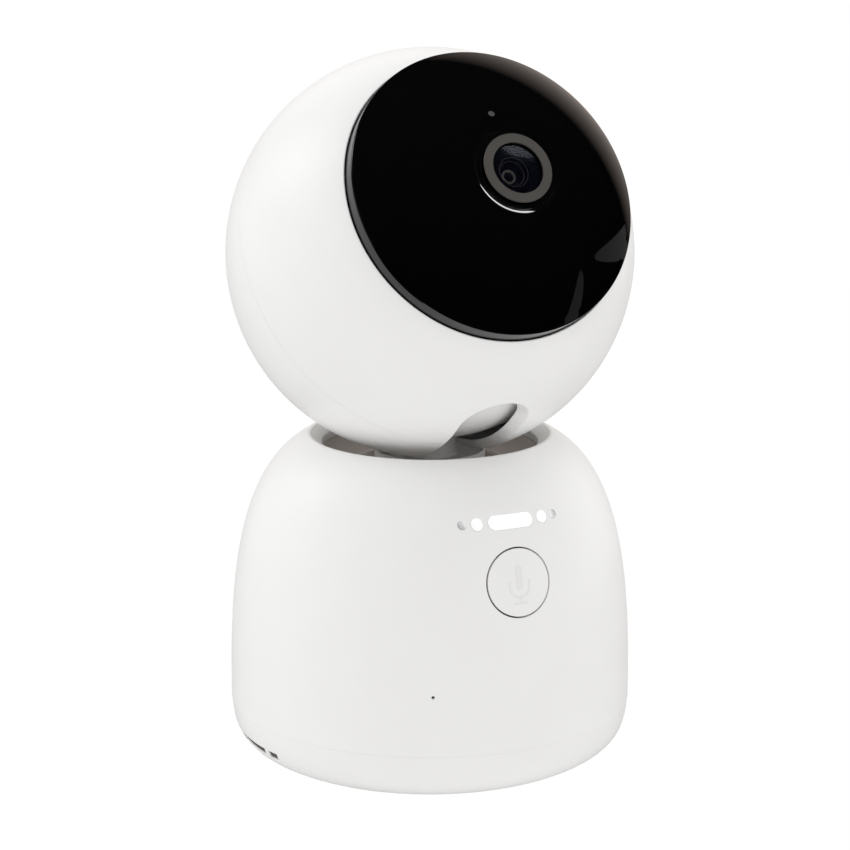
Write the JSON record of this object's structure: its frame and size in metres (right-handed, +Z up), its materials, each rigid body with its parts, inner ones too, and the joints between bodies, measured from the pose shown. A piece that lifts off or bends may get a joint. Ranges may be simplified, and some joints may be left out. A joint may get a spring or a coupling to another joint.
{
  "type": "baby monitor camera",
  "caption": "Ball-shaped camera head with a dark domed front, on a neck that pans and tilts above a round tapered base with a talk button.",
  "frame": {"origin": "on the floor under the centre of the base, on the pan axis", "axes": "+Z up along the pan axis, -Y towards the front where the talk button and the lens face, +X to the camera's left as seen from the front"},
  "size_m": [0.0804, 0.0821, 0.1409],
  "materials": {
    "white_plastic": "satin, warm white",
    "grey_plastic": "matt",
    "black_plastic": "matt",
    "gloss_black": "high gloss, dark infrared-clear",
    "nylon": "natural nylon",
    "steel": "plated",
    "brass": "turned",
    "circuit_board": "solder mask",
    "lens_glass": "coated",
    "silver_foil": "hot foil",
    "rubber": "matt",
    "speaker_paper": "pressed paper",
    "cable_jacket": "soft jacket",
    "lens_ring_grey": "fine matt"
  },
  "bodies": {
    "base": {"base_housing": "white_plastic", "bottom_cover": "white_plastic", "top_dish": "grey_plastic", "front_badge": "silver_foil", "rubber_feet": "rubber", "base_screws": "steel", "main_board": "circuit_board", "board_screws": "steel", "processor": "black_plastic", "wifi_shield": "steel", "board_chips": "black_plastic", "usb_socket": "steel", "antennas": "circuit_board", "speaker_frame": "black_plastic", "speaker_cone": "speaker_paper", "speaker_magnet": "steel", "speaker_seal": "rubber", "microphone": "steel", "mic_seal": "rubber", "switch_body": "black_plastic", "button_board": "circuit_board", "motor_frame": "nylon", "frame_screws": "steel", "neck_bush": "black_plastic", "pan_motor": "steel", "pan_motor_screws": "steel"},
    "talk_button": {"talk_button": "white_plastic", "switch_plunger": "grey_plastic"},
    "pan_drive": {"pan_motor_shaft": "steel", "pan_pinion": "nylon"},
    "neck": {"neck": "white_plastic", "pan_gear": "nylon", "gear_screws": "steel", "retaining_ring": "steel", "neck_cable": "cable_jacket", "slot_cover": "white_plastic", "tilt_yoke": "nylon", "yoke_nut": "brass", "axle_pins": "steel", "tilt_motor": "steel"},
    "tilt_drive": {"tilt_motor_shaft": "steel", "tilt_pinion": "brass"},
    "head": {"tilt_gear": "nylon", "head_front_shell": "white_plastic", "head_rear_shell": "white_plastic", "head_screws": "steel", "front_dome": "gloss_black", "lens_ring": "lens_ring_grey", "lens_barrel": "black_plastic", "lens_front_glass": "lens_glass", "lens_inner_glass": "lens_glass", "lens_holder": "black_plastic", "lens_seal": "rubber", "ir_filter": "lens_glass", "image_sensor": "black_plastic", "camera_board": "circuit_board", "camera_bracket": "nylon", "led_board": "circuit_board", "ir_leds": "lens_glass", "light_sensor": "lens_glass"}
  },
  "joints": [
    {"name": "pan", "type": "hinge", "parent": "base", "child": "neck", "pos_m": [0, 0, 0.05], "axis": [0, 0, 1], "range_deg": [-170, 170]},
    {"name": "tilt", "type": "hinge", "parent": "neck", "child": "head", "pos_m": [0, 0, 0.1009], "axis": [-1, 0, 0], "range_deg": [-40, 50]},
    {"name": "button_press", "type": "slide", "parent": "base", "child": "talk_button", "axis": [0, 0.9774, -0.2113], "range_m": [0, 0.0006], "stiffness_N_per_m": 1500, "springref_m": -0.0002},
    {"name": "pan_pinion_spin", "type": "hinge", "parent": "base", "child": "pan_drive", "pos_m": [0, 0.0228, 0.05], "axis": [0, 0, 1], "range_deg": [-640, 640]},
    {"name": "tilt_pinion_spin", "type": "hinge", "parent": "neck", "child": "tilt_drive", "pos_m": [0.0158, 0, 0.1144], "axis": [-1, 0, 0], "range_deg": [-180, 145]}
  ],
  "couplings": [
    {"joint": "pan_pinion_spin", "follows": "pan", "ratio": -3.75},
    {"joint": "tilt_pinion_spin", "follows": "tilt", "ratio": -3.5}
  ]
}
